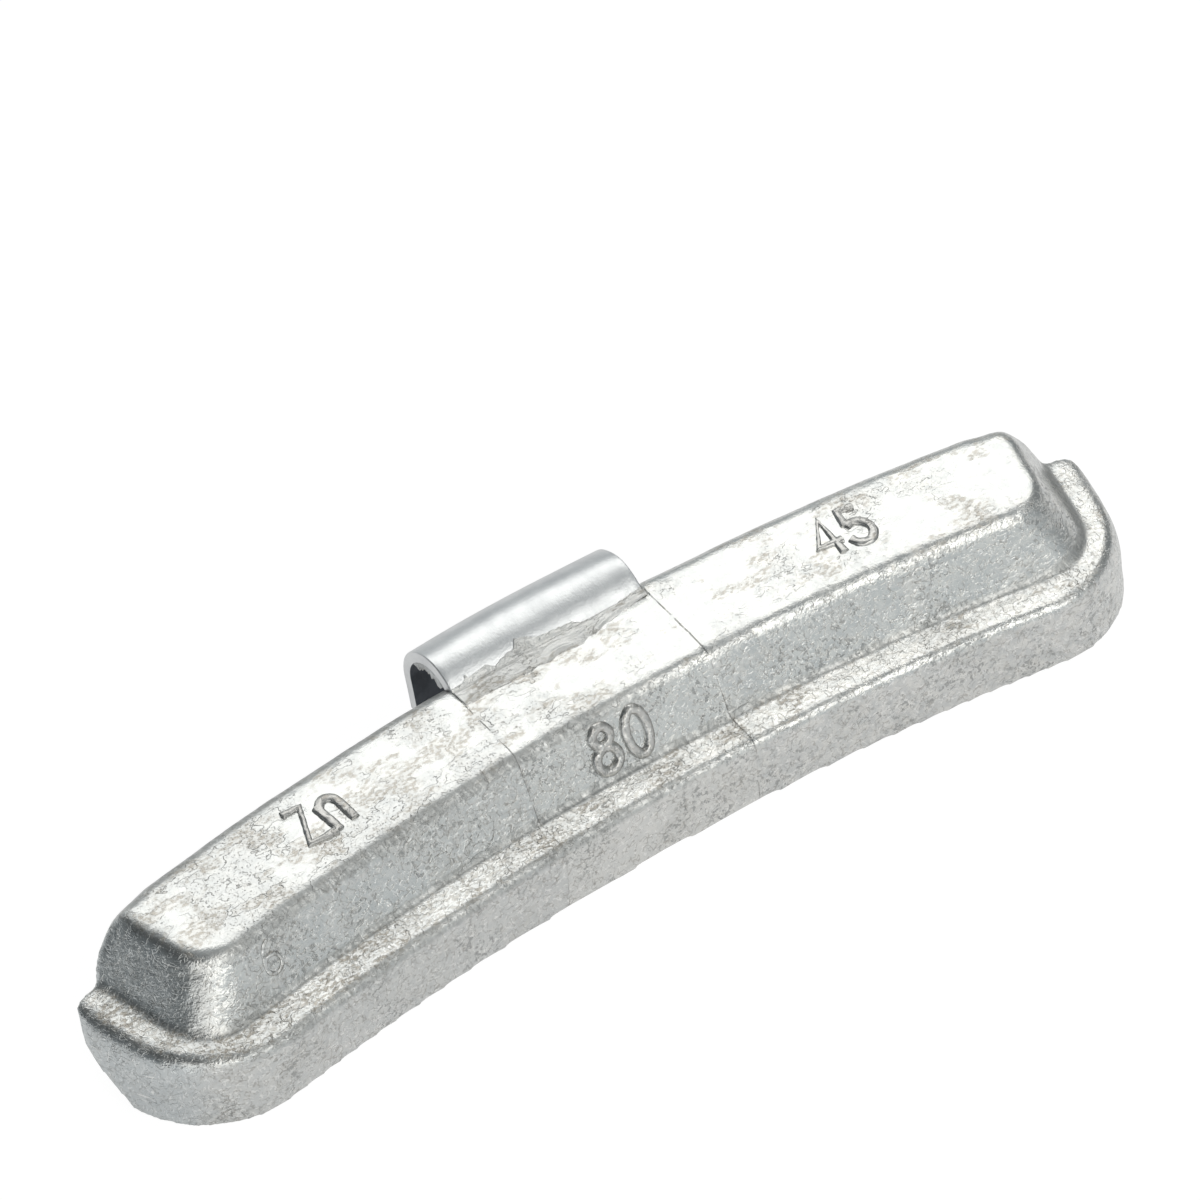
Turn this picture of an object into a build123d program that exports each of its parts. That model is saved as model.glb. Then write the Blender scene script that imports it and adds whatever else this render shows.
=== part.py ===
"""Clip-on wheel balance weight: a curved zinc casting with a rolled steel spring clip cast into its back.

The weight is drawn about the wheel axis, which is the Z axis here, and is moved to its own origin at the end:
X runs along the chord, +Y points outwards to the rim flange, and +Z away from the flat underside.
"""

import os
from math import cos, radians, sqrt, tan

from build123d import *

# Zinc casting, overall
LENGTH = 96.7  # over the back corners of the underside
HEIGHT = 11.4
UNDERSIDE_DEPTH = 8.3  # front to back at the middle, along the underside
DEPTH = 17.4  # front of the underside to the back of the top, before that edge is rounded
FRONT_RADIUS = 237.2  # concave front edge of the underside, about the wheel axis
END_ANGLE = 15.0  # each end line leans outwards to the back by this much

# Plinth
LEDGE_HEIGHT = 6.3
FRONT_DRAFT = 6.3
END_DRAFT = 10.2
PLINTH_CORNER_RADIUS = 9.5  # front corners in plan
LEDGE_EDGE_RADIUS = 1.0

# Raised block on the plinth
FRONT_LEDGE_WIDTH = 3.25
END_LEDGE_WIDTH = 2.6
BLOCK_SLOPE = 30.8  # front and end walls, from the vertical
BLOCK_CORNER_RADIUS = 4.2  # front corners in plan
BLOCK_FOOT_RADIUS = 0.6
TOP_EDGE_RADIUS = 1.65
BLOCK_TOP_STOCK = 0.5  # behind the back; the rounding of the back corners runs out in it at the top

# Convex back, which lies in the hollow of the rim flange
BACK_CURVE_RADIUS = 17.0
BACK_EDGE_RADIUS = 1.65  # along the top

# Spring clip
CLIP_WIDTH = 18.6
CLIP_THICKNESS = 1.0
CLIP_ROLL_RADIUS = 3.2  # middle of the strip
CLIP_ROLL_HEIGHT = 8.7  # centre of the roll above the underside
CLIP_ROLL_REACH = 1.0  # centre of the roll behind the back
CLIP_RUN_RADIUS = 4.2  # wider curve from the crest of the roll down into the top face
CLIP_RISE_ANGLE = 42.0  # the strip climbs out of the top face
CLIP_LEG_ANGLE = 17.0  # the rear leg leans in to the body
CLIP_LEG_LENGTH = 3.3
CLIP_TANG_LENGTH = 5.2  # straight length held in the casting

os.makedirs("parts", exist_ok=True)

back_radius = FRONT_RADIUS + DEPTH
underside_back_radius = FRONT_RADIUS + UNDERSIDE_DEPTH
ledge_radius = FRONT_RADIUS + LEDGE_HEIGHT * tan(radians(FRONT_DRAFT))
foot_radius = ledge_radius + FRONT_LEDGE_WIDTH
block_inset = (HEIGHT - LEDGE_HEIGHT) * tan(radians(BLOCK_SLOPE))
end_slant = cos(radians(END_ANGLE))
ledge_half_length = LENGTH / 2 - LEDGE_HEIGHT * tan(radians(END_DRAFT)) / end_slant
foot_half_length = ledge_half_length - END_LEDGE_WIDTH / end_slant
top_half_length = foot_half_length - block_inset / end_slant


def level_outline(height, front_radius, half_length, corner_radius, stock):
    """Plan outline at one height, with stock behind the back that is cut away later.

    half_length is measured on the circle of the underside's back edge.
    """
    stock_radius = back_radius + stock
    lean = tan(radians(END_ANGLE))
    end_y = sqrt(underside_back_radius**2 - half_length**2)
    far_y = stock_radius + DEPTH
    far_x = half_length + (far_y - end_y) * lean
    near_y = front_radius - DEPTH
    near_x = half_length + (near_y - end_y) * lean
    with BuildSketch(Plane.XY.offset(height)) as outline:
        Circle(stock_radius)
        Circle(front_radius, mode=Mode.SUBTRACT)
        with BuildLine():
            Polyline((-far_x, far_y), (far_x, far_y), (near_x, near_y), (-near_x, near_y), close=True)
        make_face(mode=Mode.INTERSECT)
        fillet(outline.vertices(), corner_radius)
    return outline.sketch


with BuildPart() as rim_clip:
    crest = (back_radius + CLIP_ROLL_REACH, CLIP_ROLL_HEIGHT + CLIP_ROLL_RADIUS)
    with BuildSketch(Plane.YZ):
        with BuildLine():
            run = JernArc(crest, (-1, 0), CLIP_RUN_RADIUS, CLIP_RISE_ANGLE)
            Line(run @ 1, run @ 1 + (run % 1) * CLIP_TANG_LENGTH)
            roll = JernArc(crest, (1, 0), CLIP_ROLL_RADIUS, -(90 + CLIP_LEG_ANGLE))
            Line(roll @ 1, roll @ 1 + (roll % 1) * CLIP_LEG_LENGTH)
        trace(line_width=CLIP_THICKNESS)
    extrude(amount=CLIP_WIDTH / 2, both=True)

with BuildPart() as plinth:
    plinth_stock = 2 * PLINTH_CORNER_RADIUS
    loft(
        [
            level_outline(0, FRONT_RADIUS, LENGTH / 2, PLINTH_CORNER_RADIUS, plinth_stock),
            level_outline(LEDGE_HEIGHT, ledge_radius, ledge_half_length, PLINTH_CORNER_RADIUS, plinth_stock),
        ],
        ruled=True,
    )
    fillet(plinth.faces().sort_by(Axis.Z)[-1].edges(), LEDGE_EDGE_RADIUS)

with BuildPart() as weight_body:
    # At the foot the back corners' rounding lies wholly in the stock, so they are sharp there and round at the top.
    foot_stock = BLOCK_CORNER_RADIUS
    block_radius = foot_radius + block_inset
    loft(
        [
            level_outline(LEDGE_HEIGHT, foot_radius, foot_half_length, BLOCK_CORNER_RADIUS, foot_stock),
            level_outline(HEIGHT, block_radius, top_half_length, BLOCK_CORNER_RADIUS, BLOCK_TOP_STOCK),
        ],
        ruled=True,
    )
    fillet(weight_body.faces().sort_by(Axis.Z)[-1].edges(), TOP_EDGE_RADIUS)

    # The block still stands free on the plinth's stock, so its foot is one closed line that takes the cove.
    add(plinth.part)
    ledge = weight_body.faces().filter_by(Axis.Z).sort_by(Axis.Z)[1]
    fillet(ledge.inner_wires()[0].edges(), BLOCK_FOOT_RADIUS)

    # The back is one section, turned about the wheel axis.
    near = FRONT_RADIUS - DEPTH
    bottom = (underside_back_radius, 0)
    top = (back_radius, HEIGHT)
    with BuildSketch(Plane.XZ) as back_section:
        with BuildLine():
            RadiusArc(bottom, top, -BACK_CURVE_RADIUS)
            Polyline(top, (near, HEIGHT), (near, 0), bottom)
        make_face()
        fillet(back_section.vertices().sort_by(Axis.X)[-1], BACK_EDGE_RADIUS)
    revolve(back_section.sketch, axis=Axis.Z, revolution_arc=180, mode=Mode.INTERSECT)
    add(rim_clip.part, mode=Mode.SUBTRACT)

box = weight_body.part.bounding_box().add(rim_clip.part.bounding_box())
to_origin = Location((0, -box.center().Y, 0))
weight_body.part.move(to_origin)
rim_clip.part.move(to_origin)

weight_body.part.label = "weight_body"
rim_clip.part.label = "rim_clip"
export_step(weight_body.part, "parts/weight_body.step")
export_step(rim_clip.part, "parts/rim_clip.step")
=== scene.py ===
"""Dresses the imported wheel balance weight: a zinc casting with raised figures and a plated steel clip.

The weight's own frame is in metres: X along the chord, +Y outwards to the rim flange, +Z up from the
underside. Sizes below are in millimetres until they reach a mesh or a shader.
"""

import logging
import math
from dataclasses import dataclass, field
from enum import Enum
from typing import Callable, ClassVar, Sequence

import bmesh
import bpy
from bmesh.types import BMEdge, BMesh, BMVert
from bpy.types import Curve, ID, Material, Mesh, Node, NodeSocket, Object, World
from mathutils import Matrix, Vector, noise


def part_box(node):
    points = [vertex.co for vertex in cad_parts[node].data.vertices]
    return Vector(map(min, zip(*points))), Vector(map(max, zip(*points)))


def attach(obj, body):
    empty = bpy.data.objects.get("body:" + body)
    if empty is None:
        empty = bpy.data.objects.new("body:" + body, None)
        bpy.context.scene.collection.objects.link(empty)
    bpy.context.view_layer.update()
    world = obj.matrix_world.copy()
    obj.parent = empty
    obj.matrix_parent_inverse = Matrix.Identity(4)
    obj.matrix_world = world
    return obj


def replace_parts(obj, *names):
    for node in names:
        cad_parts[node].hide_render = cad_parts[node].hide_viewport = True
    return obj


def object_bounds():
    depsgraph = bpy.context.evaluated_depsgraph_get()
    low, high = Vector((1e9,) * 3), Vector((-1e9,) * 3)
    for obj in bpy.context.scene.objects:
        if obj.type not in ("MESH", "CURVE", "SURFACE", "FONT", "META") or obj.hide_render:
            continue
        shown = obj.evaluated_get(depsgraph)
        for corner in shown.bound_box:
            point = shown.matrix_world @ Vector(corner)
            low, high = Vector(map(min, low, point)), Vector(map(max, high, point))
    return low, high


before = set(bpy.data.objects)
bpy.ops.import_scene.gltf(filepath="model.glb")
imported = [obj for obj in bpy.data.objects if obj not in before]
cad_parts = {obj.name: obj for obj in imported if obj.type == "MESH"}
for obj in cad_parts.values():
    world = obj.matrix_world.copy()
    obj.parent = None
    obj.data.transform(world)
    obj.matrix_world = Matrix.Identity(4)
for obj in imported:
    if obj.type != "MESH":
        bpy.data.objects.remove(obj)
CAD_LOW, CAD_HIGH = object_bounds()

MM = 0.001
BODY = "root"
LOG = logging.getLogger("balance_weight")

# Facts of the casting that the pieces on it share, as the CAD has them
WHEEL_AXIS_Y = -246.6763
TOP_HEIGHT = 11.4
LEDGE_HEIGHT = 6.3
WALL_FOOT_RADIUS = 241.146
WALL_SLOPE = math.radians(30.8)
INSERT_HALF_WIDTH = 9.3

Colour = tuple[float, float, float]
Triple = tuple[float, float, float]
Span = tuple[float, float]  # where a step starts and where it is done; the second may be the smaller


def ease(value: float, low: float, high: float) -> float:
    """Smooth step.

    Args:
        value: Where on the line between low and high.
        low: Start of the step.
        high: End of the step, which may be under low.

    Returns:
        0 before low, 1 after high, and a smooth rise between them.
    """
    share = min(max((value - low) / (high - low), 0.0), 1.0)
    return share * share * (3 - 2 * share)


@dataclass(frozen=True)
class Ripple:
    """Smooth noise from about -size to size, with its crests a length in millimetres apart.

    A shift moves the pattern, so that two ripples differ.
    """

    size: float
    length: float
    shift: float = 0.0

    def at(self, place: Vector) -> float:
        """The noise at a point in millimetres."""
        shift = Vector((self.shift, 0.7 * self.shift, 1.3 * self.shift))
        return self.size * noise.noise(place / self.length + shift)


class Sock:
    """A shader value. Arithmetic on it adds Math nodes to its tree."""

    def __init__(self, tree: "ShaderTree", socket: NodeSocket) -> None:
        """Wraps one output socket of a tree."""
        self.tree = tree
        self.socket = socket

    def _math(self, operation: str, first: "Sock | float", second: "Sock | float") -> "Sock":
        """Adds one Math node.

        Args:
            operation: Blender's name of the operation.
            first: Left operand.
            second: Right operand.

        Returns:
            The node's value.
        """
        node = self.tree.node("Math", {0: first, 1: second}, {"operation": operation})
        return self.tree.out(node, 0)

    def __add__(self, other: "Sock | float") -> "Sock":
        """Sum."""
        return self._math("ADD", self, other)

    __radd__ = __add__

    def __sub__(self, other: "Sock | float") -> "Sock":
        """Difference."""
        return self._math("SUBTRACT", self, other)

    def __rsub__(self, other: float) -> "Sock":
        """Difference from a number."""
        return self._math("SUBTRACT", other, self)

    def __mul__(self, other: "Sock | float") -> "Sock":
        """Product."""
        return self._math("MULTIPLY", self, other)

    __rmul__ = __mul__

    def __abs__(self) -> "Sock":
        """Size without its sign."""
        return self._math("ABSOLUTE", self, 0.0)

    def step(self, low: float, high: float) -> "Sock":
        """Smooth step.

        Args:
            low: Value that gives 0.
            high: Value that gives 1, which may be under low.

        Returns:
            A value from 0 to 1.
        """
        levels = {"Value": self, "From Min": low, "From Max": high}
        node = self.tree.node("MapRange", levels, {"interpolation_type": "SMOOTHSTEP"})
        return self.tree.out(node, "Result")

    def step_mm(self, low: float, high: float) -> "Sock":
        """Smooth step of a length in metres, between two lengths in millimetres."""
        return self.step(low * MM, high * MM)


@dataclass(frozen=True)
class Pattern:
    """A noise pattern, and the levels between which its mask turns from 0 to 1.

    Its grain is in millimetres. Its coordinates are turned, in degrees, and stretched first.
    """

    length: float
    levels: Span = (0.0, 1.0)
    detail: float = 2.0
    rough: float = 0.5
    turn: Triple = (0.0, 0.0, 0.0)
    stretch: Triple = (1.0, 1.0, 1.0)


class ShaderTree:
    """The nodes of one material or world."""

    def __init__(self, owner: Material | World) -> None:
        """Starts an empty tree.

        Args:
            owner: The material or world, whose nodes are cleared.
        """
        owner.use_nodes = True
        self.nodes = owner.node_tree.nodes
        self.links = owner.node_tree.links
        self.nodes.clear()

    def node(self, kind: str, inputs: dict | None = None, settings: dict | None = None) -> Node:
        """Adds a node.

        Args:
            kind: Blender's name of the node type, after the word ShaderNode.
            inputs: Values or links of its sockets, by name or number.
            settings: Properties, which are set first.

        Returns:
            The new node.
        """
        made = self.nodes.new("ShaderNode" + kind)
        for name, value in (settings or {}).items():
            setattr(made, name, value)
        for key, value in (inputs or {}).items():
            if isinstance(value, Sock):
                self.links.new(value.socket, made.inputs[key])
            else:
                made.inputs[key].default_value = value
        return made

    def out(self, node: Node, key: str | int) -> Sock:
        """One output of a node."""
        return Sock(self, node.outputs[key])

    def place(self) -> Sock:
        """Coordinates on the piece, in metres."""
        return self.out(self.node("TexCoord"), "Object")

    def facing(self) -> Sock:
        """Direction that the surface faces, in the piece's frame."""
        return self.out(self.node("TexCoord"), "Normal")

    def axes(self, vector: Sock) -> tuple[Sock, ...]:
        """The three parts of a vector."""
        parts = self.node("SeparateXYZ", {0: vector})
        return tuple(self.out(parts, axis) for axis in "XYZ")

    def noise(self, pattern: Pattern) -> Sock:
        """Noise of a pattern over the piece.

        Args:
            pattern: Its grain, turn and stretch.

        Returns:
            A value from 0 to 1, mostly near 0.5.
        """
        turn = [math.radians(angle) for angle in pattern.turn]
        mapping = {"Vector": self.place(), "Rotation": turn, "Scale": pattern.stretch}
        made = self.node("TexNoise", {
            "Vector": self.out(self.node("Mapping", mapping, {"vector_type": "TEXTURE"}), 0),
            "Scale": 1 / (pattern.length * MM),
            "Detail": pattern.detail,
            "Roughness": pattern.rough,
        })
        return self.out(made, 0)

    def mask(self, pattern: Pattern, lift: Sock | None = None) -> Sock:
        """Where a pattern passes its levels, from 0 to 1. A lift makes the mask cover more in places."""
        level = self.noise(pattern)
        return (level if lift is None else level + lift).step(*pattern.levels)

    def veins(self, pattern: Pattern) -> Sock:
        """Thin winding lines where a pattern crosses its middle. Its levels are distances from there."""
        return abs(self.noise(pattern) - 0.5).step(*pattern.levels)

    def mix(self, share: Sock, first: Sock | Colour, second: Sock | Colour) -> Sock:
        """Blend of two colours.

        Args:
            share: 0 gives the first colour, 1 the second.
            first: A colour or its socket.
            second: A colour or its socket.

        Returns:
            The blended colour.
        """
        inputs = {"Factor": share, "A": rgba(first), "B": rgba(second)}
        node = self.node("Mix", inputs, {"data_type": "RGBA"})
        return Sock(self, next(s for s in node.outputs if s.type == "RGBA"))

    def metal(
        self, colour: Sock, metallic: Sock | float, roughness: Sock, height: Sock, depth: float,
    ) -> None:
        """Finishes a material as bumpy metal.

        Args:
            colour: Base colour.
            metallic: Share of metal.
            roughness: Roughness.
            height: Height of the fine relief, from 0 to 1.
            depth: Depth of that relief in millimetres.
        """
        relief = {"Height": height, "Strength": 1.0, "Distance": depth * MM}
        shader = self.node("BsdfPrincipled", {
            "Base Color": colour,
            "Metallic": metallic,
            "Roughness": roughness,
            "Normal": self.out(self.node("Bump", relief), 0),
        })
        self.node("OutputMaterial", {"Surface": self.out(shader, 0)})


def rgba(colour: Sock | Colour) -> Sock | tuple[float, ...]:
    """A colour with its alpha, or the socket as it is."""
    return colour if isinstance(colour, Sock) else (*colour, 1.0)


class CastSkin(ShaderTree):
    """The nodes of a die casting's skin. Where each kind of mark lies is a mask from 0 to 1."""

    FLOW_STRETCH = (1.7, 1.0, 1.0)
    WORN = Pattern(6.0, (0.47, 0.66), 3.0, 0.55)
    FLOW = Pattern(0.62, rough=0.55, stretch=FLOW_STRETCH)
    SKIN = Pattern(0.9, (0.35, 0.70), 5.0, 0.62)
    GRAIN = Pattern(0.2, (0.60, 0.70), rough=0.6)
    STAIN_PATCHES = Pattern(2.4, (0.53, 0.66), 3.0, 0.6, stretch=FLOW_STRETCH)
    STAIN_SPECKLE = Pattern(0.30, (0.46, 0.60), 3.0, 0.65, stretch=FLOW_STRETCH)
    WRINKLES = Pattern(1.2, (0.013, 0.002), 2.5, 0.55, stretch=FLOW_STRETCH)
    WRINKLE_BREAKS = Pattern(0.7, (0.38, 0.52), 1.0)
    GLINTING_CURLS = Pattern(0.5, (0.05, 0.01), 1.0, turn=(20, 35, 10), stretch=(1.5, 1.0, 1.0))
    GLINTING_CURL_BREAKS = Pattern(0.5, (0.42, 0.58), 1.0)
    DARK_WORMS = Pattern(0.65, (0.04, 0.005), 1.0, turn=(50, 15, 70), stretch=(1.4, 1.0, 1.0))
    DARK_WORM_BREAKS = Pattern(0.6, (0.62, 0.46), 1.0)
    SCABS = Pattern(0.45, (0.545, 0.61), 3.0, 0.7, (50, 15, 70), (1.4, 1.0, 1.0))
    SCAB_PATCHES = Pattern(4.5, (0.43, 0.57))
    LONG_SCRATCHES = Pattern(0.9, (0.64, 0.70), turn=(10, 15, 24), stretch=(7.0, 0.30, 1.0))
    CROSS_SCRATCHES = Pattern(0.9, (0.66, 0.72), turn=(60, 5, 112), stretch=(5.0, 0.30, 1.0))
    HATCH = Pattern(0.7, (0.35, 0.6), turn=(0, 0, 25), stretch=(0.5, 2.0, 2.0))
    SEAM_WANDER = Pattern(2.0)
    SEAM_BREAKS = Pattern(1.2, (0.36, 0.58))
    MORE_WORN_LEFT = 0.09
    MORE_STAINED_LEFT = 0.05
    SEAM_SWAY = 0.12
    SEAM_WIDTH = (0.06, 0.01)

    def __init__(self, owner: Material) -> None:
        """Reads where a point lies and which way it faces.

        Args:
            owner: The material, whose nodes are cleared.
        """
        super().__init__(owner)
        self.along, _, self.up = self.axes(self.place())
        self.sideways, _, self.upwards = self.axes(self.facing())
        self.left = self.along.step_mm(12.0, -20.0)
        self.on_top = self.up.step_mm(TOP_HEIGHT - 0.35, TOP_HEIGHT - 0.1)
        self.left_end = self.sideways.step(-0.4, -0.75)
        self.flat = self.upwards.step(0.75, 0.97)
        self.worn = self.mask(self.WORN, self.MORE_WORN_LEFT * self.left)
        self.skin = self.noise(self.SKIN)
        self.grain = self.noise(self.GRAIN)

    def pale_skin(self) -> Sock:
        """Paler metal, mostly on the right."""
        return self.skin.step(*self.SKIN.levels) * (1.0 - 0.5 * self.left)

    def insert(self) -> Sock:
        """The walls between the two seams of the die insert."""
        between = abs(self.along).step_mm(INSERT_HALF_WIDTH + 0.1, INSERT_HALF_WIDTH - 0.2)
        return between * self.upwards.step(0.7, 0.55)

    def stains(self) -> Sock:
        """Tan stains: patches that are strongest on the level faces, and a fine speckle on the ledge.

        Returns:
            The mask.
        """
        patches = self.mask(self.STAIN_PATCHES, self.MORE_STAINED_LEFT * self.left)
        speckle = self.mask(self.STAIN_SPECKLE)
        on_ledge = self.flat * (1.0 - self.on_top)
        patches = patches * (0.2 + 0.7 * speckle) * (0.25 + 0.75 * self.flat)
        return patches + (0.3 + 0.25 * self.left) * speckle * on_ledge

    def specks(self) -> Sock:
        """Dark specks in the worn patches."""
        return self.grain.step(*self.GRAIN.levels) * self.worn

    def wrinkles(self) -> Sock:
        """Broken dark lines in the worn patches."""
        return self.veins(self.WRINKLES) * self.worn * self.mask(self.WRINKLE_BREAKS)

    def glinting_curls(self) -> Sock:
        """Short raised curls with a painted glint on them, fewer on the top face."""
        curls = self.veins(self.GLINTING_CURLS)
        return curls * self.mask(self.GLINTING_CURL_BREAKS) * (1.0 - 0.7 * self.on_top)

    def dark_worms(self) -> Sock:
        """Short dark curls, on the top face only where it is worn."""
        spared = self.on_top * (1.0 - 0.6 * self.worn)
        return self.veins(self.DARK_WORMS) * self.mask(self.DARK_WORM_BREAKS) * (1.0 - spared)

    def scabs(self) -> Sock:
        """Patches of dull scabs on the walls."""
        scabs = self.mask(self.SCABS) * self.mask(self.SCAB_PATCHES)
        return scabs * (1.0 - self.flat) * (1.0 - self.left_end)

    def scratches(self) -> Sock:
        """Fine scratches two ways, most of them on the left end."""
        both_ways = self.mask(self.LONG_SCRATCHES) + self.mask(self.CROSS_SCRATCHES)
        return both_ways * (0.25 + 0.75 * self.left_end)

    def rubbed_and_shaded_edges(self) -> Sock:
        """Dull hatching on the left half's front edges, partly die wear and partly painted shade, and painted
        crease shade along the foot of the block.

        Returns:
            The mask.
        """
        top_edge = self.upwards.step(0.52, 0.62) * self.up.step_mm(TOP_HEIGHT - 1.2, TOP_HEIGHT - 0.8)
        ledge_edge = self.upwards.step(0.2, 0.4) * self.up.step_mm(LEDGE_HEIGHT - 1.3, LEDGE_HEIGHT - 0.9)
        ledge_edge = ledge_edge * self.up.step_mm(LEDGE_HEIGHT + 0.15, LEDGE_HEIGHT)
        # The cove at the foot of the block: painted crease shade.
        foot = self.upwards.step(0.53, 0.62) * self.up.step_mm(LEDGE_HEIGHT - 0.1, LEDGE_HEIGHT)
        foot = foot * self.up.step_mm(LEDGE_HEIGHT + 0.9, LEDGE_HEIGHT + 0.5)
        edges = (top_edge + 0.8 * ledge_edge) * self.along.step_mm(10.0, -4.0) + foot
        facing_front = self.upwards.step(0.985, 0.93) * self.sideways.step(-0.3, -0.02)
        return edges * facing_front * (0.45 + 0.55 * self.mask(self.HATCH))

    def seams(self) -> Sock:
        """Broken, slightly wandering lines at both sides of the die insert.

        Returns:
            The mask.
        """
        wander = (self.noise(self.SEAM_WANDER) - 0.5) * (self.SEAM_SWAY * MM)
        line = abs(abs(self.along) - INSERT_HALF_WIDTH * MM + wander).step_mm(*self.SEAM_WIDTH)
        return line * self.mask(self.SEAM_BREAKS)

    def relief(self) -> Sock:
        """Height of the bare skin: flow marks, strongest where it is worn, and finer grain.

        Returns:
            The height, from 0 to about 1.
        """
        calm = (1.0 - 0.55 * self.flat) * (1.0 - 0.6 * self.left_end)
        flow = self.noise(self.FLOW) * (0.45 + 0.9 * self.worn) * calm
        return flow + self.skin * 0.25 + self.grain * 0.15


@dataclass(frozen=True)
class Mark:
    """What one kind of mark does to the bare skin where its mask is full."""

    tint: Colour
    share: float = 0.0
    height: float = 0.0
    roughness: float = 0.0


@dataclass(frozen=True)
class ZincFinish:
    """As-cast zinc: pale grey metal with flow marks, tan stains, scabs, fine wrinkles and scratches, and
    painted light: painted shade on its left end, on its left front edges and in the foot of its block, and
    painted glints on its raised curls.
    """

    name: str
    metal: Colour = (0.60, 0.61, 0.605)
    pale: Colour = (0.73, 0.725, 0.70)
    # Pale metal of fresh scratches, and the painted glint on the raised curls.
    bright: Colour = (0.87, 0.865, 0.845)
    stain: Colour = (0.48, 0.45, 0.405)
    oxide: Colour = (0.27, 0.25, 0.225)
    # Painted shade: the faces that turn to the left are tinted darker and bluer.
    painted_end_shade: Colour = (0.28, 0.37, 0.43)
    # Dull grey of the scabs, and of the rubbed edges, where it is partly painted shade.
    dull_and_shade: Colour = (0.36, 0.365, 0.36)
    metallic: float = 1.0
    roughness: float = 0.25
    relief: float = 0.1
    # Share of the dull grey on the rubbed edges, partly painted shade.
    edge_wear_and_shade: float = 0.65
    worn_roughness: float = 0.08
    speck_dullness: float = 0.3

    def material(self) -> Material:
        """Makes the node material.

        Returns:
            The finished material.
        """
        made = bpy.data.materials.new(self.name)
        skin = CastSkin(made)
        specks = skin.specks()
        scratches = skin.scratches()
        marks = (
            (skin.insert(), Mark(self.pale, 0.45)),
            (skin.stains(), Mark(self.stain, 1.0, height=-0.12, roughness=0.12)),
            # Painted glints: bright colour on the raised curls.
            (skin.glinting_curls(), Mark(self.bright, 0.65, height=0.1)),
            (skin.dark_worms(), Mark(self.oxide, 0.45, height=-0.1)),
            (skin.scabs(), Mark(self.dull_and_shade, 0.85, height=-0.2)),
            (specks, Mark(self.oxide, 0.5, height=-0.12, roughness=0.15)),
            (skin.wrinkles(), Mark(self.oxide, 0.5, height=-0.25)),
            # Rubbed edges: partly die wear, partly painted shade on the front edges and in the block's foot.
            (skin.rubbed_and_shaded_edges() * self.edge_wear_and_shade, Mark(self.dull_and_shade, 1.0, roughness=0.34)),
            (skin.seams(), Mark(self.oxide, 0.45, height=-0.4)),
            # Painted shade on the left end: its faces are tinted darker and bluer.
            (skin.left_end, Mark(self.painted_end_shade, 0.22, roughness=-0.07)),
            (scratches, Mark(self.bright, height=-0.15)),
            (scratches * skin.left_end, Mark(self.bright, 0.5)),
        )
        colour = skin.mix(skin.pale_skin(), self.metal, self.pale)
        height = skin.relief()
        roughness = self.roughness + self.worn_roughness * skin.worn
        for mask, mark in marks:
            if mark.share:
                colour = skin.mix(mask * mark.share, colour, mark.tint)
            if mark.height:
                height = height + mask * mark.height
            if mark.roughness:
                roughness = roughness + mask * mark.roughness
        metallic = self.metallic - self.speck_dullness * specks
        skin.metal(colour, metallic, roughness, height, self.relief)
        return made


@dataclass(frozen=True)
class SteelFinish:
    """Satin zinc plate on rolled strip, with fine drawing lines."""

    LINES: ClassVar[Pattern] = Pattern(0.8, detail=3.0, rough=0.6, stretch=(0.2, 3.0, 3.0))
    BLOOM: ClassVar[Pattern] = Pattern(1.8, (0.35, 0.75), 4.0, 0.6)
    GRAIN: ClassVar[Pattern] = Pattern(0.2, (0.66, 0.74))

    name: str
    bright: Colour = (0.72, 0.73, 0.735)
    dull: Colour = (0.63, 0.64, 0.65)
    roughness: float = 0.3
    relief: float = 0.02

    def material(self) -> Material:
        """Makes the node material.

        Returns:
            The finished material.
        """
        made = bpy.data.materials.new(self.name)
        tree = ShaderTree(made)
        lines = tree.noise(self.LINES)
        bloom = tree.noise(self.BLOOM)
        grain = tree.noise(self.GRAIN)
        pits = grain.step(*self.GRAIN.levels)
        colour = tree.mix(bloom.step(*self.BLOOM.levels), self.bright, self.dull)
        roughness = self.roughness + 0.1 * bloom + 0.1 * pits
        height = lines * 0.5 + bloom * 0.3 + grain * 0.9 - pits * 0.3
        tree.metal(colour, 1.0, roughness, height, self.relief)
        return made


def linked(name: str, data: ID) -> Object:
    """Makes an object in the scene.

    Args:
        name: The object's name.
        data: Its mesh, curve, lamp or camera.

    Returns:
        The object.
    """
    made = bpy.data.objects.new(name, data)
    bpy.context.scene.collection.objects.link(made)
    return made


def meshed(name: str, shell: BMesh) -> Mesh:
    """Makes a mesh from a finished bmesh.

    Args:
        name: The mesh's name.
        shell: The bmesh, which is freed.

    Returns:
        The mesh.
    """
    mesh = bpy.data.meshes.new(name)
    shell.to_mesh(mesh)
    shell.free()
    return mesh


def add_piece(name: str, mesh: Mesh, finishes: Sequence[Material]) -> Object:
    """Links a finished mesh as a piece of the weight.

    Args:
        name: The piece's name.
        mesh: Its mesh, in place, in metres.
        finishes: Its materials.

    Returns:
        The object, which rides on the weight's one body.
    """
    mesh.name = name
    for finish in finishes:
        mesh.materials.append(finish)
    mesh.shade_smooth()
    piece = linked(name, mesh)
    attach(piece, BODY)
    LOG.info("%s: %d faces", name, len(mesh.polygons))
    return piece


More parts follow.
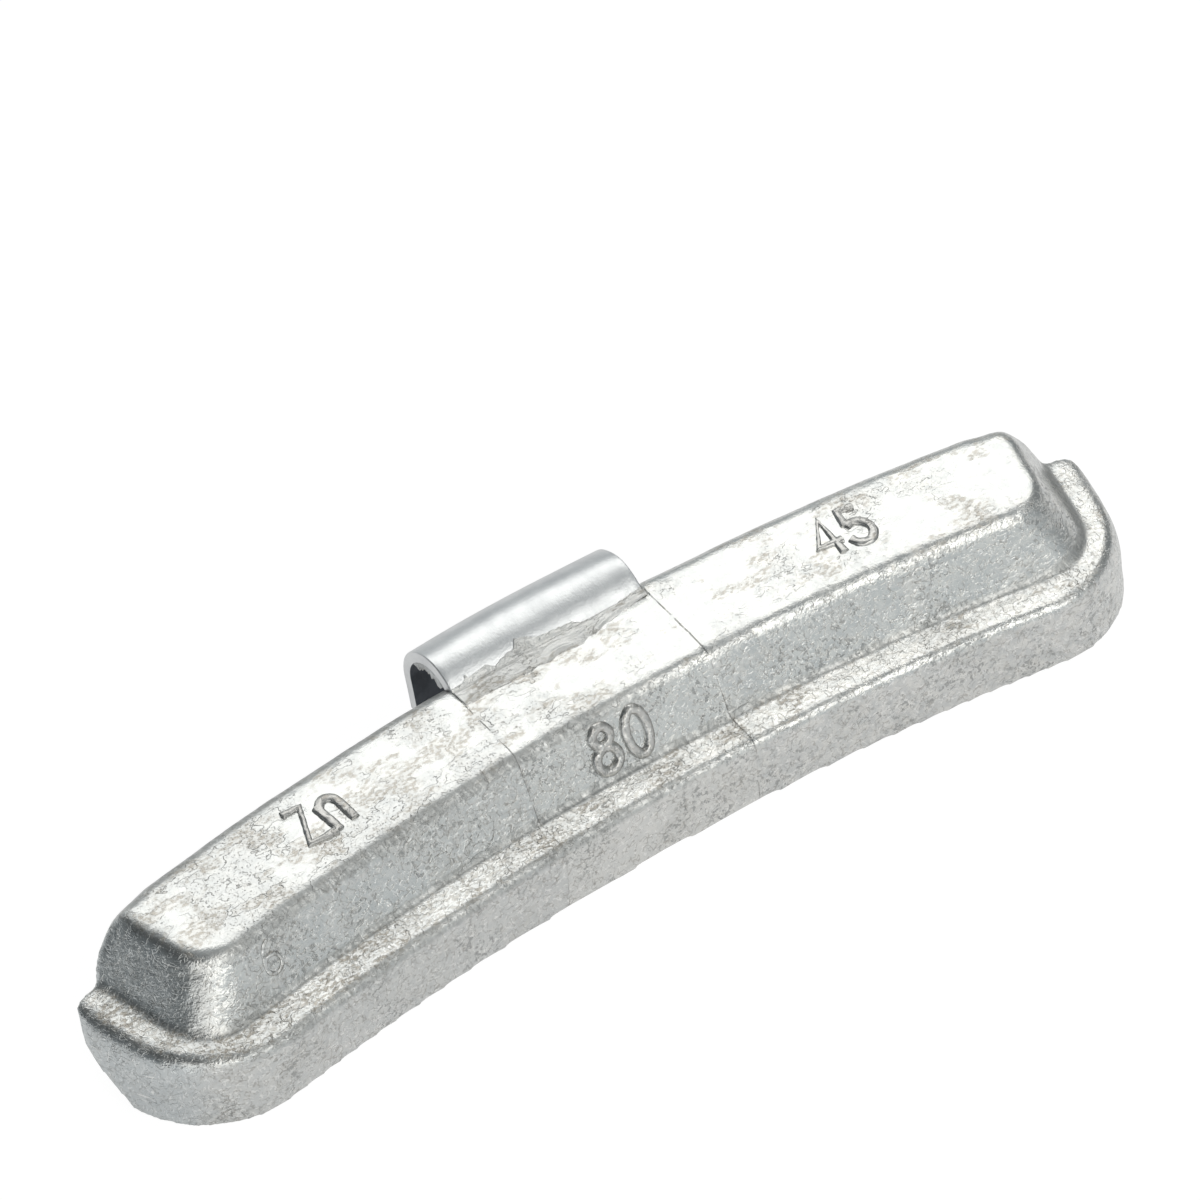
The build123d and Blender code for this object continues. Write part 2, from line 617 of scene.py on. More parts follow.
def evaluated_mesh(data: ID, modifier: str = "", settings: dict | None = None) -> Mesh:
    """A curve or mesh as Blender evaluates it.

    Args:
        data: The curve or mesh.
        modifier: Blender's name of a modifier type to apply, if any.
        settings: The modifier's properties.

    Returns:
        A new mesh.
    """
    carrier = linked("carrier", data)
    if modifier:
        made = carrier.modifiers.new("made", modifier)
        for name, value in (settings or {}).items():
            setattr(made, name, value)
    graph = bpy.context.evaluated_depsgraph_get()
    result = bpy.data.meshes.new_from_object(carrier.evaluated_get(graph))
    bpy.data.objects.remove(carrier)
    return result


def remeshed(mesh: Mesh, cell: float) -> Mesh:
    """One closed skin over a mesh, in even cells of a size in millimetres."""
    return evaluated_mesh(mesh, "REMESH", {"mode": "VOXEL", "voxel_size": cell * MM})


def in_cad_box(place: Vector) -> list[float]:
    """The point of the CAD box that is nearest to a point in metres."""
    return [min(max(value, low), high) for value, low, high in zip(place, CAD_LOW, CAD_HIGH)]


def moved_mesh(mesh: Mesh, move: Callable[[Vector, Vector], Vector]) -> Mesh:
    """Moves each point of a mesh and keeps it in the CAD box.

    Args:
        mesh: The mesh, in metres, which is changed.
        move: Takes a point and its normal, in millimetres, and gives the new point.

    Returns:
        The same mesh.
    """
    normals = [vertex.normal.copy() for vertex in mesh.vertices]
    for vertex, normal in zip(mesh.vertices, normals):
        vertex.co = in_cad_box(move(vertex.co / MM, normal) * MM)
    mesh.update()
    return mesh


def picked(geometry: Sequence, kind: type) -> list:
    """The elements of one kind among those that a bmesh operator gives."""
    return [element for element in geometry if isinstance(element, kind)]


@dataclass(frozen=True)
class WornPlace:
    """A box at both ends of the casting, open outwards, where the skin is worn rounder than elsewhere."""

    low: Triple
    passes: int
    fade: float
    top: float = 100.0

    def depth(self, place: Vector) -> float:
        """How far a point lies inside the box, in millimetres."""
        inner = (value - low for value, low in zip((abs(place.x), place.y, place.z), self.low))
        return min(*inner, self.top - place.z)


@dataclass
class Casting:
    """The zinc body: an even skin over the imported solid, with the unevenness of a die casting.

    The spans say where each kind of unevenness starts and where it is full.
    """

    node: str = "weight_body"
    weld: float = 0.001
    cell: float = 0.25
    even_passes: int = 3
    smooth_factor: float = 0.5
    sway: Ripple = Ripple(0.05, 7.0)
    dimples: Ripple = Ripple(0.03, 1.6, 4.0)
    above_foot: Span = (0.1, 1.2)
    seam_step: float = 0.06
    seam_sides: Span = (0.1, -0.15)
    seam_front: Span = (6.0, 5.0)
    clip_dip: float = 0.25
    clip_dip_depth: Span = (4.3, 6.0)
    clip_dip_height: Span = (9.5, 11.0)
    rag: Ripple = Ripple(0.045, 2.1, 9.0)
    rag_height: Span = (0.7, 0.1)
    rag_facing: Span = (0.98, 0.6)
    end_bulge: float = 0.3
    end_bulge_middle: float = 4.0
    end_bulge_height: Span = (3.5, 0.0)
    end_bulge_length: Span = (40.0, 48.5)
    worn_places: tuple[WornPlace, ...] = (
        WornPlace((39.8, 2.2, 7.4), 130, 2.5),
        WornPlace((43.5, -14.0, 3.9), 20, 2.0, 7.0),
        WornPlace((46.0, -2.5, 3.6), 24, 1.5, 7.0),
        WornPlace((0.0, -14.0, -1.0), 6, 0.0, 1.2),
    )

    def build(self, finish: Material) -> Object:
        """Makes the body.

        Args:
            finish: The zinc material.

        Returns:
            The piece that stands for the CAD node.
        """
        shell = bmesh.new()
        shell.from_mesh(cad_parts[self.node].data)
        bmesh.ops.remove_doubles(shell, verts=shell.verts[:], dist=self.weld * MM)
        even = remeshed(meshed("welded", shell), self.cell)
        shell = bmesh.new()
        shell.from_mesh(even)
        for _ in range(self.even_passes):
            self._smooth(shell, shell.verts[:])
        for worn in self.worn_places:
            depths = [(worn.depth(v.co / MM), v) for v in shell.verts]
            for i in range(worn.passes):
                self._smooth(shell, [v for depth, v in depths if depth > worn.fade * i / worn.passes])
        shell.to_mesh(even)
        shell.free()
        piece = add_piece("zinc_casting", moved_mesh(even, self._uneven), (finish,))
        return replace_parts(piece, self.node)

    def _smooth(self, shell: BMesh, verts: list[BMVert]) -> None:
        """Evens out some of the skin."""
        every_axis = {"use_axis_x": True, "use_axis_y": True, "use_axis_z": True}
        bmesh.ops.smooth_vert(shell, verts=verts, factor=self.smooth_factor, **every_axis)

    def _uneven(self, place: Vector, normal: Vector) -> Vector:
        """Where a point of the smooth skin lies on the casting.

        Args:
            place: The point, in millimetres.
            normal: Outward normal there.

        Returns:
            The point on the casting.
        """
        inside = ease(abs(place.x) - INSERT_HALF_WIDTH, *self.seam_sides)
        rise = self.sway.at(place) + self.dimples.at(place)
        rise -= self.seam_step * inside * ease(place.y, *self.seam_front)
        moved = place + normal * rise * ease(place.z, *self.above_foot)
        dip = ease(place.y, *self.clip_dip_depth) * ease(place.z, *self.clip_dip_height)
        moved.z -= self.clip_dip * inside * dip

        rim = ease(place.z, *self.rag_height) * ease(abs(normal.z), *self.rag_facing)
        ragged = rim * self.rag.at(place)
        end = ease(abs(place.x), *self.end_bulge_length)
        end *= ease(abs(place.z - self.end_bulge_middle), *self.end_bulge_height)
        outward = Vector((normal.x, normal.y, 0.0))
        return moved + outward * (ragged + self.end_bulge * end)


class Face(Enum):
    """Face of the casting that a raised figure stands on."""

    TOP = "top"
    FRONT_WALL = "front wall"


@dataclass(frozen=True)
class Stroke:
    """One bead of a raised figure, as points in millimetres on its face."""

    points: tuple[tuple[float, float], ...]
    closed: bool = False
    smooth: bool = False


def loop(
    x: float, y: float, half_width: float, half_height: float, start: float = 0.0, end: float = 360.0,
) -> Stroke:
    """A round stroke.

    Args:
        x: Centre along the face.
        y: Centre up the face.
        half_width: Half of its width.
        half_height: Half of its height.
        start: Angle of its first point in degrees.
        end: Angle of its last point. A full turn closes it.

    Returns:
        The stroke.
    """
    closed = end - start >= 360
    count = 16
    steps = count if closed else count - 1
    angles = [math.radians(start + (end - start) * i / steps) for i in range(count)]
    points = tuple((x + half_width * math.cos(a), y + half_height * math.sin(a)) for a in angles)
    return Stroke(points, closed, True)


@dataclass(frozen=True)
class Figure:
    """A raised figure, cast in one with the body."""

    SPLINE_ORDER: ClassVar[int] = 3
    RESOLUTION: ClassVar[int] = 4
    CELL: ClassVar[float] = 0.07
    BUMPS: ClassVar[Ripple] = Ripple(0.05, 0.5)

    name: str
    face: Face
    strokes: tuple[Stroke, ...]
    bead_width: float = 0.9
    bead_height: float = 0.36
    faint: bool = False

    def build(self, finish: Material) -> Object:
        """Makes the figure's beads.

        Args:
            finish: The zinc material.

        Returns:
            The piece.
        """
        mesh = evaluated_mesh(self._beads())
        mesh.transform(self._matrix() @ Matrix.Scale(2 * self.bead_height / self.bead_width, 4, (0, 0, 1)))
        mesh = moved_mesh(remeshed(mesh, self.CELL), self._bumpy)
        return add_piece(self.name, mesh, (finish,))

    def _beads(self) -> Curve:
        """Draws the strokes as round beads, flat in XY, in millimetres.

        Returns:
            The curve.
        """
        curve = bpy.data.curves.new(self.name, "CURVE")
        curve.dimensions = "3D"
        curve.bevel_depth = self.bead_width / 2
        curve.bevel_resolution = self.RESOLUTION
        curve.use_fill_caps = True
        for stroke in self.strokes:
            spline = curve.splines.new("NURBS" if stroke.smooth else "POLY")
            spline.points.add(len(stroke.points) - 1)
            for point, (x, y) in zip(spline.points, stroke.points):
                point.co = (x, y, 0.0, 1.0)
            spline.use_cyclic_u = stroke.closed
            spline.use_endpoint_u = not stroke.closed
            spline.order_u = self.SPLINE_ORDER
            spline.resolution_u = self.RESOLUTION
        return curve

    def _matrix(self) -> Matrix:
        """Places the figure's flat drawing on its face.

        Returns:
            The matrix from the drawing, in millimetres, to the weight's frame, in metres.
        """
        if self.face is Face.TOP:
            return Matrix.Scale(MM, 4) @ Matrix.Translation((0, 0, TOP_HEIGHT))
        across = [x for stroke in self.strokes for x, _ in stroke.points]
        middle = sum(across) / len(across)
        turn = -math.asin(middle / WALL_FOOT_RADIUS)
        lean = Matrix.Rotation(math.pi / 2 - WALL_SLOPE, 4, "X")
        out = Matrix.Translation((-middle, WALL_FOOT_RADIUS, LEDGE_HEIGHT))
        about_axis = Matrix.Translation((0, WHEEL_AXIS_Y, 0)) @ Matrix.Rotation(turn, 4, "Z")
        return Matrix.Scale(MM, 4) @ about_axis @ out @ lean

    def _bumpy(self, place: Vector, normal: Vector) -> Vector:
        """Where a point of the smooth bead lies on the rough one."""
        return place + normal * self.BUMPS.at(place)


FIGURES = (
    Figure("figure_mass", Face.FRONT_WALL, (
        loop(-1.87, 3.83, 0.82, 0.80),
        loop(-1.87, 1.85, 1.06, 1.02),
        loop(1.30, 2.74, 1.02, 1.96),
    )),
    Figure("figure_metal", Face.TOP, (
        Stroke(((-27.5, 3.13), (-25.85, 3.08), (-27.35, -0.54), (-24.8, -0.58))),
        Stroke(((-24.85, 2.33), (-24.57, -0.62))),
        Stroke((
            (-24.80, 1.8), (-24.5, 2.5), (-23.7, 2.75), (-23.1, 2.3), (-23.02, 1.3), (-22.96, -0.37),
        ), smooth=True),
    ), bead_width=0.86, bead_height=0.27),
    Figure("figure_rim_size", Face.TOP, (
        Stroke(((24.41, -0.67), (24.68, 3.33), (22.97, 0.82), (25.1, 0.54))),
        Stroke(((27.9, 2.88), (26.5, 3.18), (26.15, 1.53))),
        loop(26.72, 0.40, 1.08, 1.22, -170, 125),
    ), bead_width=0.86, bead_height=0.27),
    Figure("figure_cavity", Face.FRONT_WALL, (
        loop(-35.05, 2.75, 0.78, 0.80),
        Stroke(((-35.8, 2.9), (-35.75, 3.8), (-35.3, 4.5), (-34.8, 4.8)), smooth=True),
    ), bead_width=0.42, bead_height=0.10, faint=True),
)


@dataclass
class SpringClip:
    """The rolled steel strip: a tang in the casting, a run out of it, a roll, and a leg that leans in."""

    node: str = "rim_clip"
    thickness: float = 1.0
    roll_radius: float = 3.2
    run_radius: float = 4.2
    rise: float = math.radians(42)
    leg_lean: float = math.radians(17)
    tang_length: float = 5.2
    leg_length: float = 3.3
    tang_steps: int = 4
    run_steps: int = 24
    roll_steps: int = 40
    leg_steps: int = 3
    cuts_across: int = 40
    edge_radius: float = 0.12
    edge_segments: int = 3
    sharp_angle: float = math.radians(60)
    bow: float = 0.2
    bow_depth: Span = (-1.0, 2.0)
    kink: Ripple = Ripple(0.04, 5.0)
    dents: Ripple = Ripple(0.008, 1.5)
    inner_facing: float = 0.5
    half_width: float = field(init=False)
    roll_centre: Vector = field(init=False)
    run_centre: Vector = field(init=False)

    def __post_init__(self) -> None:
        """Reads where the clip lies in the frame."""
        low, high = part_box(self.node)
        reach = self.roll_radius + self.thickness / 2
        self.half_width = (high.x - low.x) / 2 / MM
        self.roll_centre = Vector((0, high.y / MM - reach, high.z / MM - reach))
        self.run_centre = self.roll_centre + Vector((0, 0, self.roll_radius - self.run_radius))

    def on_strip(self, angle: float, depth: float) -> Vector:
        """A point of the strip's curved length.

        Args:
            angle: From the crest, in radians, positive down the run and negative down the roll.
            depth: Distance inwards from the outer surface, in millimetres.

        Returns:
            The point, in millimetres, at the middle of the clip's width.
        """
        ray = Vector((0, -math.sin(angle), math.cos(angle)))
        on_run = angle > 0
        centre = self.run_centre if on_run else self.roll_centre
        radius = self.run_radius if on_run else self.roll_radius
        return centre + ray * (radius + self.thickness / 2 - depth)

    def build(self, finish: Material, inside: Material) -> Object:
        """Makes the strip.

        Args:
            finish: The plated steel material.
            inside: The near-black material of the roll's inner side, which is painted shade.

        Returns:
            The piece that stands for the CAD node.
        """
        strip = bmesh.new()
        self._draw(strip)
        self._soften(strip)
        # Faces turned into the roll take the near-black inner material: painted shade.
        for face in strip.faces:
            inward = self.roll_centre - face.calc_center_median()
            inward.x = 0
            face.material_index = int(face.normal.dot(inward.normalized()) > self.inner_facing)
        bmesh.ops.scale(strip, vec=(MM, MM, MM), verts=strip.verts[:])
        mesh = moved_mesh(meshed(self.node, strip), self._bowed)
        piece = add_piece("spring_clip", mesh, (finish, inside))
        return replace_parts(piece, self.node)

    def _draw(self, strip: BMesh) -> None:
        """Draws the strip's side from the tang to the leg, and extrudes it across.

        Args:
            strip: An empty mesh, which takes the strip.
        """
        side = Vector((-self.half_width, 0, 0))
        along = Vector((0, math.cos(self.rise), math.sin(self.rise)))
        down = Vector((0, -math.sin(self.leg_lean), -math.cos(self.leg_lean)))
        tang = along * self.tang_length
        ends = [self.on_strip(self.rise, depth) - tang for depth in (self.thickness, 0)]
        last = [strip.edges.new([strip.verts.new(end + side) for end in ends])]
        last = self._straight(strip, last, tang, self.tang_steps)
        last = self._turn(strip, last, self.run_centre + side, self.rise, self.run_steps)
        roll_turn = math.pi / 2 + self.leg_lean
        last = self._turn(strip, last, self.roll_centre + side, roll_turn, self.roll_steps)
        self._straight(strip, last, down * self.leg_length, self.leg_steps)
        across = bmesh.ops.extrude_face_region(strip, geom=strip.faces[:])["geom"]
        bmesh.ops.translate(strip, vec=-2 * side, verts=picked(across, BMVert))
        bmesh.ops.recalc_face_normals(strip, faces=strip.faces[:])

    def _soften(self, strip: BMesh) -> None:
        """Rounds the strip's sharp edges, and divides it across so that it can bow.

        Args:
            strip: The mesh, which is changed.
        """
        sharp = [e for e in strip.edges if e.is_manifold and e.calc_face_angle() > self.sharp_angle]
        bmesh.ops.bevel(
            strip, geom=sharp, offset=self.edge_radius, offset_type="OFFSET", affect="EDGES",
            segments=self.edge_segments, profile=0.5, material=-1, clamp_overlap=True,
        )
        long_edges = [e for e in strip.edges if abs(e.verts[0].co.x - e.verts[1].co.x) > self.half_width]
        bmesh.ops.subdivide_edges(strip, edges=long_edges, cuts=self.cuts_across, use_grid_fill=True)

    def _straight(self, strip: BMesh, edges: list[BMEdge], way: Vector, steps: int) -> list[BMEdge]:
        """Draws the strip's end on along a straight line.

        Args:
            strip: The mesh.
            edges: The edges at its end.
            way: How far and where to.
            steps: Number of equal steps.

        Returns:
            The edges at the new end.
        """
        for _ in range(steps):
            made = bmesh.ops.extrude_edge_only(strip, edges=edges)["geom"]
            bmesh.ops.translate(strip, vec=way / steps, verts=picked(made, BMVert))
            edges = picked(made, BMEdge)
        return edges

    def _turn(
        self, strip: BMesh, edges: list[BMEdge], centre: Vector, angle: float, steps: int,
    ) -> list[BMEdge]:
        """Draws the strip's end on round an arc, over the top to the back.

        Args:
            strip: The mesh.
            edges: The edges at its end.
            centre: Centre of the arc.
            angle: How far to turn, in radians.
            steps: Number of equal steps.

        Returns:
            The edges at the new end.
        """
        verts = list({v for e in edges for v in e.verts})
        spun = bmesh.ops.spin(
            strip, geom=edges + verts, cent=centre, axis=(1, 0, 0), angle=-angle, steps=steps,
            use_merge=False,
        )
        return picked(spun["geom_last"], BMEdge)

    def _bowed(self, place: Vector, normal: Vector) -> Vector:
        """Where a point of the straight roll lies on the rolled strip, which draws in towards its ends.

        Args:
            place: The point, in millimetres.
            normal: Outward normal there.

        Returns:
            The point on the strip.
        """
        from_centre = Vector((0, place.y - self.roll_centre.y, place.z - self.roll_centre.z))
        behind = ease(from_centre.y, *self.bow_depth)
        shrink = self.bow * (place.x / self.half_width) ** 2 + self.kink.size + self.kink.at(place)
        return place - from_centre.normalized() * shrink * behind + normal * self.dents.at(place)


@dataclass
class Flash:
    """Zinc that ran out of the die: a ragged skin over the clip's foot and a rough lining in its roll."""

    clip: SpringClip
    skin_reach: tuple[tuple[float, float], ...] = (
        (-9.2, 0.33), (-7.9, 0.42), (-7.66, 0.9), (-7.4, 0.5), (-5.66, 0.76), (-5.0, 0.28), (-3.8, 0.73),
        (-2.9, 0.78), (-2.45, 1.5), (-1.5, 1.18), (-0.65, 0.74), (2.5, 0.48), (3.3, 0.08), (6.2, 0.0),
        (9.2, 0.3),
    )
    skin_cells: tuple[int, int] = (190, 40)
    skin_side_gap: float = 0.05
    skin_thickness: float = 0.1
    skin_sunk: float = 0.09
    skin_lift: float = 0.16
    skin_lift_along: Span = (-0.1, 0.5)
    skin_least: float = 0.01
    band_start: float = 3.95
    band_start_right: float = 5.0
    band_turn: Span = (1.0, 9.0)
    band_rag: Ripple = Ripple(0.25, 1.2, 2.0)
    wrinkles: Ripple = Ripple(0.07, 0.33)
    wrinkle_stretch: float = 5.0
    crumples: Ripple = Ripple(0.04, 0.6, 3.0)
    reach_rag: Ripple = Ripple(0.1, 0.3)
    reach_rag_row: float = 2.46
    reach_least: float = 0.02
    lining_cells: tuple[int, int] = (110, 60)
    lining_side_gap: float = 0.04
    lining_start: float = math.radians(30)
    lining_end: float = math.radians(-72)
    lining_thickness: float = 0.75
    lining_taper: Span = (0.55, 0.25)
    lining_sunk: float = 0.1
    lining_rags: tuple[Ripple, ...] = (Ripple(0.35, 1.1), Ripple(0.2, 0.4, 5.0))
    lining_lumps: tuple[Ripple, ...] = (Ripple(0.6, 0.9), Ripple(0.4, 0.35))
    lining_spread: float = 4.0

    def build_skin(self, finish: Material) -> Object:
        """Makes the wrinkled band in front of the clip and the skin that climbs it."""
        return self._slab("flash_skin", self._on_skin, self.skin_cells, finish)

    def build_lining(self, finish: Material) -> Object:
        """Makes the rough zinc inside the roll."""
        return self._slab("flash_lining", self._on_lining, self.lining_cells, finish)

    def _on_skin(self, cell: Vector) -> Vector:
        """Where a point of the skin lies.

        Args:
            cell: X and Y in a unit square about the origin, and 0 outside or 1 inside as Z.

        Returns:
            The point, in millimetres.
        """
        clip = self.clip
        foot = clip.on_strip(clip.rise, 0)
        x = cell.x * 2 * (clip.half_width - self.skin_side_gap)
        across = Vector((x, 0, 0))
        start = self.band_start + (self.band_start_right - self.band_start) * ease(x, *self.band_turn)
        start += self.band_rag.at(across)
        flat = foot.y - start
        along = (cell.y + 0.5) * (flat + self._reach(x))
        wrinkle = self.wrinkles.at(Vector((x / self.wrinkle_stretch, along, 0)))
        wrinkle += self.crumples.at(Vector((x, along, 0)))
        inside = self.skin_thickness * cell.z
        lift = self.skin_lift * ease(along, *self.skin_lift_along) - self.skin_sunk + wrinkle - inside
        if along < flat:
            share = along / flat
            rise = (foot.z - TOP_HEIGHT) * share * share
            return Vector((x, start + along, TOP_HEIGHT + rise + lift))
        angle = clip.rise - (along - flat) / (clip.run_radius + clip.thickness / 2)
        return clip.on_strip(angle, -max(lift, self.skin_least - inside)) + across

    def _reach(self, x: float) -> float:
        """How far the skin climbs the clip.

        Args:
            x: Place across the clip, in millimetres.

        Returns:
            The length up the run, in millimetres.
        """
        pairs = zip(self.skin_reach, self.skin_reach[1:])
        (x0, low), (x1, high) = next((p for p in pairs if x <= p[1][0]), self.skin_reach[-2:])
        reach = low + (high - low) * (x - x0) / (x1 - x0)
        return max(reach + self.reach_rag.at(Vector((x, self.reach_rag_row, 0))), self.reach_least)

    def _on_lining(self, cell: Vector) -> Vector:
        """Where a point of the lining lies.

        Args:
            cell: X and Y in a unit square about the origin, and 0 inside the roll or 1 in the strip as Z.

        Returns:
            The point, in millimetres.
        """
        clip = self.clip
        x = cell.x * 2 * (clip.half_width - self.lining_side_gap)
        across = Vector((x, 0, 0))
        end = self.lining_end + sum(rag.at(across) for rag in self.lining_rags)
        angle = self.lining_start + (end - self.lining_start) * (cell.y + 0.5)
        spread = Vector((x, self.lining_spread * angle, 0))
        rough = 1 + sum(lump.at(spread) for lump in self.lining_lumps)
        thick = self.lining_thickness * rough * ease(cell.y, *self.lining_taper)
        depth = clip.thickness + (thick if cell.z < 0.5 else -self.lining_sunk)
        return clip.on_strip(angle, depth) + across

    def _slab(
        self, name: str, laid: Callable[[Vector], Vector], cells: tuple[int, int], finish: Material,
    ) -> Object:
        """Makes a thin slab.

        Args:
            name: The piece's name.
            laid: Takes a point of the unit square, with 0 or 1 for its two sides as Z, and gives its
                place in millimetres.
            cells: Number of cells across and along.
            finish: The zinc material.

        Returns:
            The piece.
        """
        slab = bmesh.new()
        bmesh.ops.create_grid(slab, x_segments=cells[0], y_segments=cells[1], size=0.5)
        other = bmesh.ops.extrude_face_region(slab, geom=slab.faces[:])["geom"]
        bmesh.ops.translate(slab, vec=(0, 0, 1), verts=picked(other, BMVert))
        for vertex in slab.verts:
            vertex.co = in_cad_box(laid(vertex.co.copy()) * MM)
        bmesh.ops.recalc_face_normals(slab, faces=slab.faces[:])
        return add_piece(name, meshed(name, slab), (finish,))


@dataclass(frozen=True)
class Softbox:
    """A large soft lamp that faces the weight.

    Its angles are in degrees, its distance in metres, and its level is the brightness of its face,
    where 1 is white.
    """

    name: str
    azimuth: float
    elevation: float
    width: float
    height: float
    level: float
    tint: Colour
    distance: float = 1.3

    def build(self) -> None:
        """Makes the lamp."""
        lamp = bpy.data.lights.new(self.name, "AREA")
        lamp.shape = "RECTANGLE"
        lamp.size = 2 * self.distance * math.tan(math.radians(self.width / 2))
        lamp.size_y = 2 * self.distance * math.tan(math.radians(self.height / 2))
        lamp.energy = self.level * math.pi * lamp.size * lamp.size_y
        lamp.color = self.tint
        way = direction(self.azimuth, self.elevation)
        holder = linked(self.name, lamp)
        holder.location = way * self.distance
        holder.rotation_euler = way.to_track_quat("Z", "Y").to_euler()


def direction(azimuth: float, elevation: float) -> Vector:
    """Direction from the weight, by its angle from the front and its angle above the floor, in degrees."""
    around, up = math.radians(azimuth), math.radians(elevation)
    return Vector((math.sin(around) * math.cos(up), -math.cos(around) * math.cos(up), math.sin(up)))


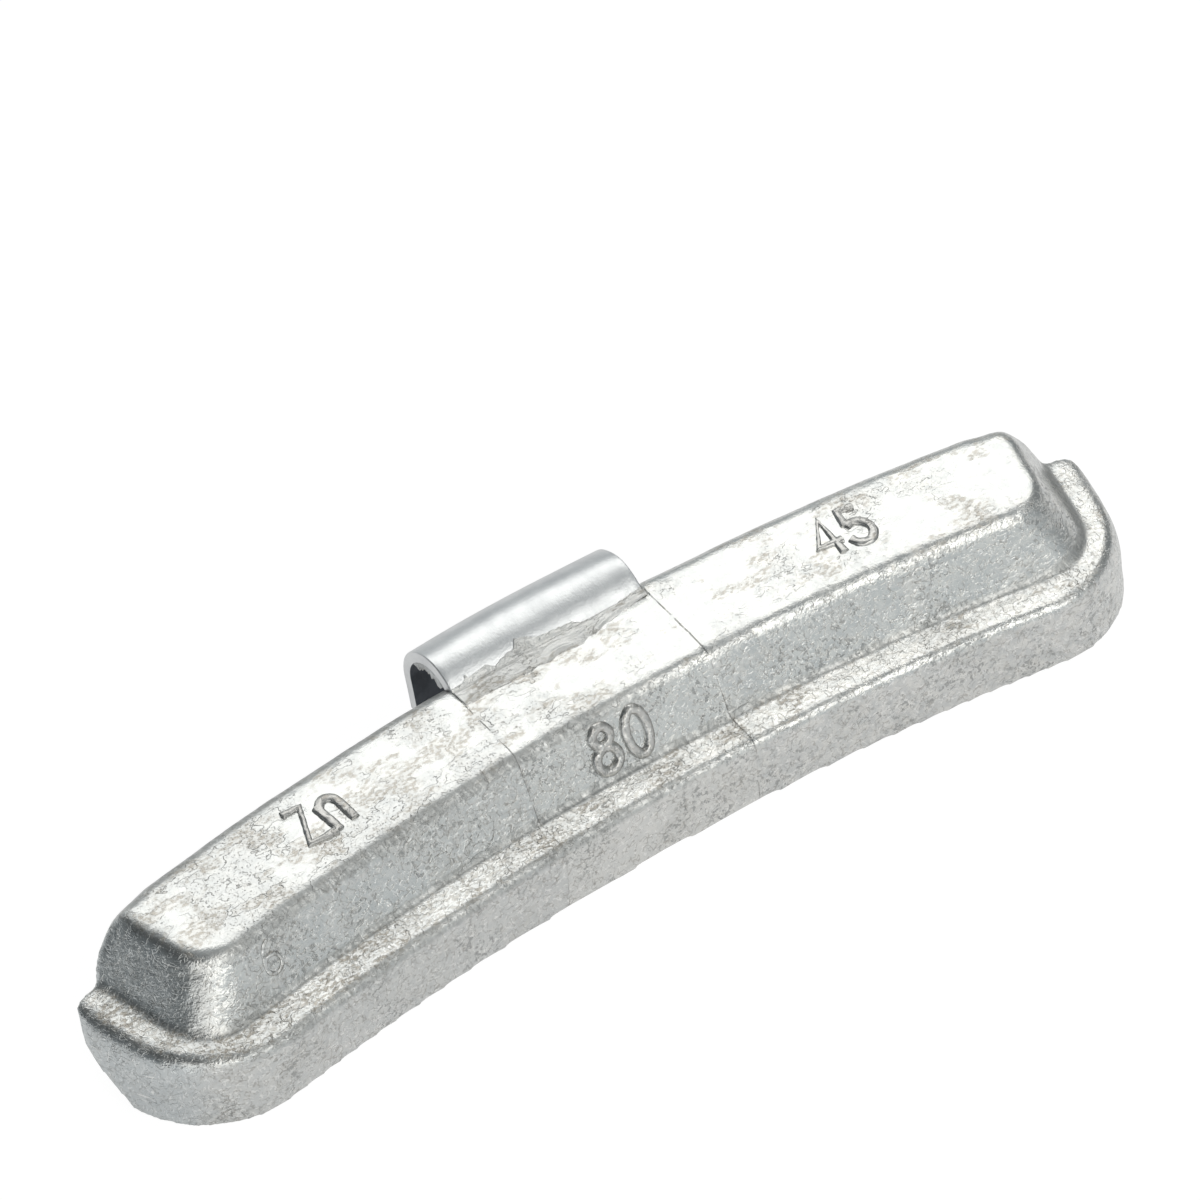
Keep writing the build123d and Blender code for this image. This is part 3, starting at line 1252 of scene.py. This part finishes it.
@dataclass
class Studio:
    """A white floor, a pale room, soft lamps, and the camera at the photograph's angle."""

    WARM: ClassVar[Colour] = (1.0, 0.985, 0.95)
    WARMER: ClassVar[Colour] = (1.0, 0.975, 0.92)

    azimuth: float = -37.1099
    elevation: float = 47.9777
    roll: float = 0.2657
    distance: float = 722.053
    target: Triple = (0.0, -4.294, 4.295)
    frame_pixels: float = 1200.0
    target_pixel: tuple[float, float] = (625.03, 777.20)
    pixels_per_mm: float = 12.78647
    sensor: float = 36.0
    camera_range: tuple[float, float] = (0.05, 10.0)
    floor_half: float = 3.0
    floor_matt: float = 0.82
    floor_glow: float = 0.93
    floor_shade: float = 0.15
    floor_mirrored: float = 0.57
    room_level: float = 0.5
    room_tint: Colour = (0.92, 0.98, 1.0)
    front_gain: float = 0.25
    left_loss: float = 0.75
    left_low_gain: float = 0.3
    right_loss: float = 0.45
    overhead_loss: float = 0.25
    lamps: tuple[Softbox, ...] = (
        Softbox("back_softbox", 143.0, 50.0, 54.0, 36.0, 1.35, WARM),
        Softbox("front_softbox", 7.0, 41.0, 42.0, 30.0, 1.6, WARMER),
        Softbox("clip_softbox", 43.0, 53.0, 18.0, 18.0, 1.7, WARM),
        Softbox("corner_softbox", -38.0, 18.0, 46.0, 36.0, 1.0, WARM),
    )

    def build(self) -> None:
        """Makes the whole stage."""
        self._floor()
        self._room()
        self._camera()
        for lamp in self.lamps:
            lamp.build()
        bpy.context.scene.view_settings.view_transform = "Standard"

    def _floor(self) -> None:
        """White floor that keeps a soft shadow."""
        shell = bmesh.new()
        bmesh.ops.create_grid(shell, x_segments=1, y_segments=1, size=self.floor_half)
        mesh = meshed("floor", shell)
        mesh.materials.append(self._floor_white())
        floor = linked("floor", mesh)

    def _floor_white(self) -> Material:
        """Makes the floor's material, which is white to the camera and matt to the light.

        Returns:
            The finished material.
        """
        white = bpy.data.materials.new("white_floor")
        tree = ShaderTree(white)
        path = tree.node("LightPath")
        rays = ("Is Camera Ray", "Is Glossy Ray", "Is Transmission Ray")
        camera, glossy, through = (tree.out(path, name) for name in rays)
        matt = tree.node("BsdfDiffuse", {"Color": rgba((self.floor_matt,) * 3)})
        glow = tree.node("Emission", {"Color": rgba((1, 1, 1)), "Strength": self.floor_glow})
        shade = tree.node("BsdfDiffuse", {"Color": rgba((self.floor_shade,) * 3)})
        shown = tree.node("AddShader", {0: tree.out(glow, 0), 1: tree.out(shade, 0)})
        seen = camera + self.floor_mirrored * (glossy + through)
        both = tree.node("MixShader", {0: seen, 1: tree.out(matt, 0), 2: tree.out(shown, 0)})
        tree.node("OutputMaterial", {"Surface": tree.out(both, 0)})
        return white

    def _room(self) -> None:
        """Pale room: bright low down at the front, dimmer overhead and to the right, darkest to the left."""
        world = bpy.data.worlds.new("room")
        tree = ShaderTree(world)
        right, back, up = tree.axes(tree.out(tree.node("TexCoord"), "Generated"))
        low_in_front = back.step(0.1, -0.8) * up.step(0.6, 0.15)
        at_left = (self.left_loss - self.left_low_gain * up.step(0.55, 0.05)) * right.step(0.05, -0.6)
        at_right = self.right_loss * right.step(0.5, 0.95)
        overhead = self.overhead_loss * up.step(0.6, 0.95)
        level = self.room_level + self.front_gain * low_in_front
        for loss in (at_left, overhead, at_right):
            level = level * (1.0 - loss)
        colour = tree.mix(level, (0.0, 0.0, 0.0), self.room_tint)
        light = tree.node("Background", {"Color": colour, "Strength": 1.0})
        tree.node("OutputWorld", {"Surface": tree.out(light, 0)})
        bpy.context.scene.world = world

    def _camera(self) -> None:
        """Camera that sees the weight as the photograph does."""
        around, roll = math.radians(self.azimuth), math.radians(self.roll)
        back = direction(self.azimuth, self.elevation)
        level = Vector((math.cos(around), math.sin(around), 0.0))
        upright = back.cross(level)
        right = level * math.cos(roll) + upright * math.sin(roll)
        over = upright * math.cos(roll) - level * math.sin(roll)
        half = self.frame_pixels / 2
        beside = (half - self.target_pixel[0]) / self.pixels_per_mm
        above = (self.target_pixel[1] - half) / self.pixels_per_mm
        target = Vector(self.target)
        eye = target + back * self.distance
        view = (eye - (target + right * beside + over * above)).normalized()
        right = over.cross(view).normalized()
        over = view.cross(right)

        lens = bpy.data.cameras.new("camera")
        lens.sensor_width = self.sensor
        lens.lens = self.pixels_per_mm * self.distance * self.sensor / self.frame_pixels
        lens.clip_start, lens.clip_end = self.camera_range
        turned = Matrix((right, over, view)).transposed().to_4x4()
        camera = linked("camera", lens)
        camera.matrix_world = Matrix.Translation(eye * MM) @ turned
        bpy.context.scene.camera = camera


def main() -> None:
    """Builds the pieces and the stage."""
    logging.basicConfig(level=logging.INFO, format="%(name)s: %(message)s")
    zinc = ZincFinish("cast_zinc_skin").material()
    # Painted shade: the raised figures take a darker copy of the zinc.
    shaded_raised_zinc = ZincFinish("shaded_raised_zinc", (0.48, 0.475, 0.46), (0.62, 0.61, 0.59), roughness=0.3).material()
    rough_zinc = ZincFinish(
        "zinc_flash", (0.70, 0.70, 0.69), metallic=0.75, roughness=0.4, relief=0.22, edge_wear_and_shade=0.1,
    ).material()
    steel = SteelFinish("plated_clip_steel").material()
    # Painted shade: a near-black steel for the roll's inner side.
    inner_shade_steel = SteelFinish("inner_steel_painted_shade", (0.09, 0.10, 0.115), (0.06, 0.065, 0.075), 0.4).material()

    Casting().build(zinc)
    for figure in FIGURES:
        figure.build(zinc if figure.faint else shaded_raised_zinc)
    clip = SpringClip()
    clip.build(steel, inner_shade_steel)
    flash = Flash(clip)
    flash.build_skin(rough_zinc)
    flash.build_lining(rough_zinc)
    Studio().build()


if __name__ == "__main__":
    main()
